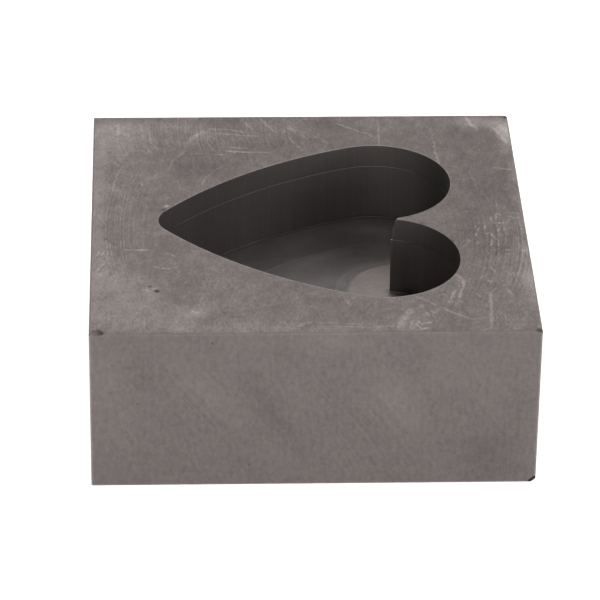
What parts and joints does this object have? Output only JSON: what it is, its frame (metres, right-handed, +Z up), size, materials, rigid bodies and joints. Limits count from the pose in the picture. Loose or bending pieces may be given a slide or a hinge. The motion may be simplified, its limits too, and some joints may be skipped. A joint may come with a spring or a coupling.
{
  "type": "ingot mould",
  "caption": "Square graphite block with a flat-bottomed heart-shaped pocket milled into its top, for casting small metal ingots.",
  "frame": {"origin": "middle of the flat underside that the block rests on", "axes": "+Z up out of the pocket's mouth, +X from the heart's tip towards its lobes, +Y towards the picture's far side"},
  "size_m": [0.1, 0.1, 0.04],
  "materials": {
    "graphite": "machined"
  },
  "bodies": {
    "root": {"mould_block": "graphite"}
  },
  "joints": []
}
